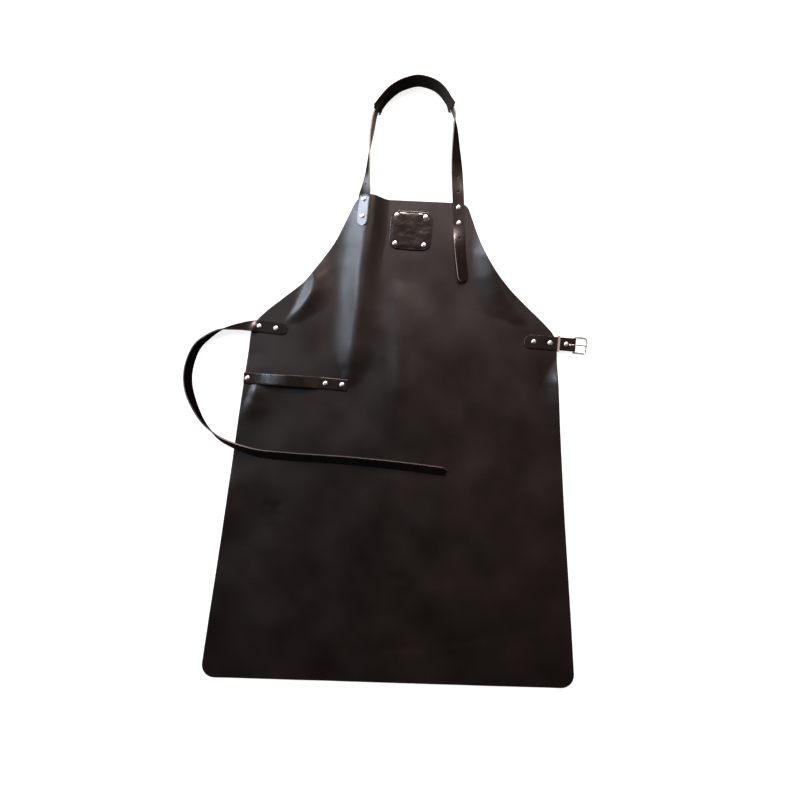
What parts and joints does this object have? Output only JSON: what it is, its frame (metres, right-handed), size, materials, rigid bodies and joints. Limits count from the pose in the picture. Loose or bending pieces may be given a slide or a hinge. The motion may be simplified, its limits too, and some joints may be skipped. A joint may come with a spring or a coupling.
{
  "type": "leather work apron",
  "caption": "Full-length leather work apron with a bib, riveted neck strap with a sliding pad, waist strap with a prong buckle, towel loop and bare badge, lying flat on its back.",
  "frame": {"origin": "on the apron's flat back, on its centre line, level with the skirt about 407 mm above the hem", "axes": "+Y along the centre line towards the neck, +X to the right seen from the front, +Z out of the front of the apron, up from the floor it lies on"},
  "size_m": [0.7033, 1.0579, 0.0389],
  "materials": {
    "body_leather": "smooth dark brown-black leather with a low sheen and a fine grain",
    "strap_leather": "firm black-brown strap leather with a polished grain and dark cut edges",
    "pad_leather": "soft thin black leather with a matte pebbled grain",
    "badge_leather": "glossy black leather, slightly wrinkled, with a plain tooled border",
    "nickel": "nickel-plated steel wire, polished",
    "rivet_nickel": "nickel-plated domed rivet cap, polished"
  },
  "bodies": {
    "apron": {"apron_body": "body_leather", "neck_strap": "strap_leather", "neck_pad": "pad_leather", "waist_strap": "strap_leather", "towel_loop": "strap_leather", "buckle_tab": "strap_leather", "badge": "badge_leather", "neck_rivet_left_upper": "rivet_nickel", "neck_rivet_left_lower": "rivet_nickel", "neck_rivet_right_upper": "rivet_nickel", "neck_rivet_right_lower": "rivet_nickel", "waist_rivet_inner": "rivet_nickel", "waist_rivet_outer": "rivet_nickel", "towel_rivet_left": "rivet_nickel", "towel_rivet_mid": "rivet_nickel", "towel_rivet_right": "rivet_nickel", "tab_rivet_inner": "rivet_nickel", "tab_rivet_mid": "rivet_nickel", "tab_rivet_outer": "rivet_nickel", "badge_rivet_1": "rivet_nickel", "badge_rivet_2": "rivet_nickel", "badge_rivet_3": "rivet_nickel", "badge_rivet_4": "rivet_nickel"},
    "buckle": {"buckle_frame": "nickel"},
    "prong": {"buckle_prong": "nickel"},
    "keeper": {"keeper": "nickel"}
  },
  "joints": [
    {"name": "buckle_swing", "type": "hinge", "parent": "apron", "child": "buckle", "pos_m": [0.29715, 0.19725, 0.00465], "axis": [-0.0384, -0.9993, 0], "range_deg": [-45, 45]},
    {"name": "prong_swing", "type": "hinge", "parent": "buckle", "child": "prong", "pos_m": [0.29715, 0.19725, 0.00465], "axis": [-0.0384, -0.9993, 0], "range_deg": [0, 90]},
    {"name": "keeper_slide", "type": "slide", "parent": "apron", "child": "keeper", "axis": [0.9993, -0.0384, 0], "range_m": [0, 0.006]}
  ]
}
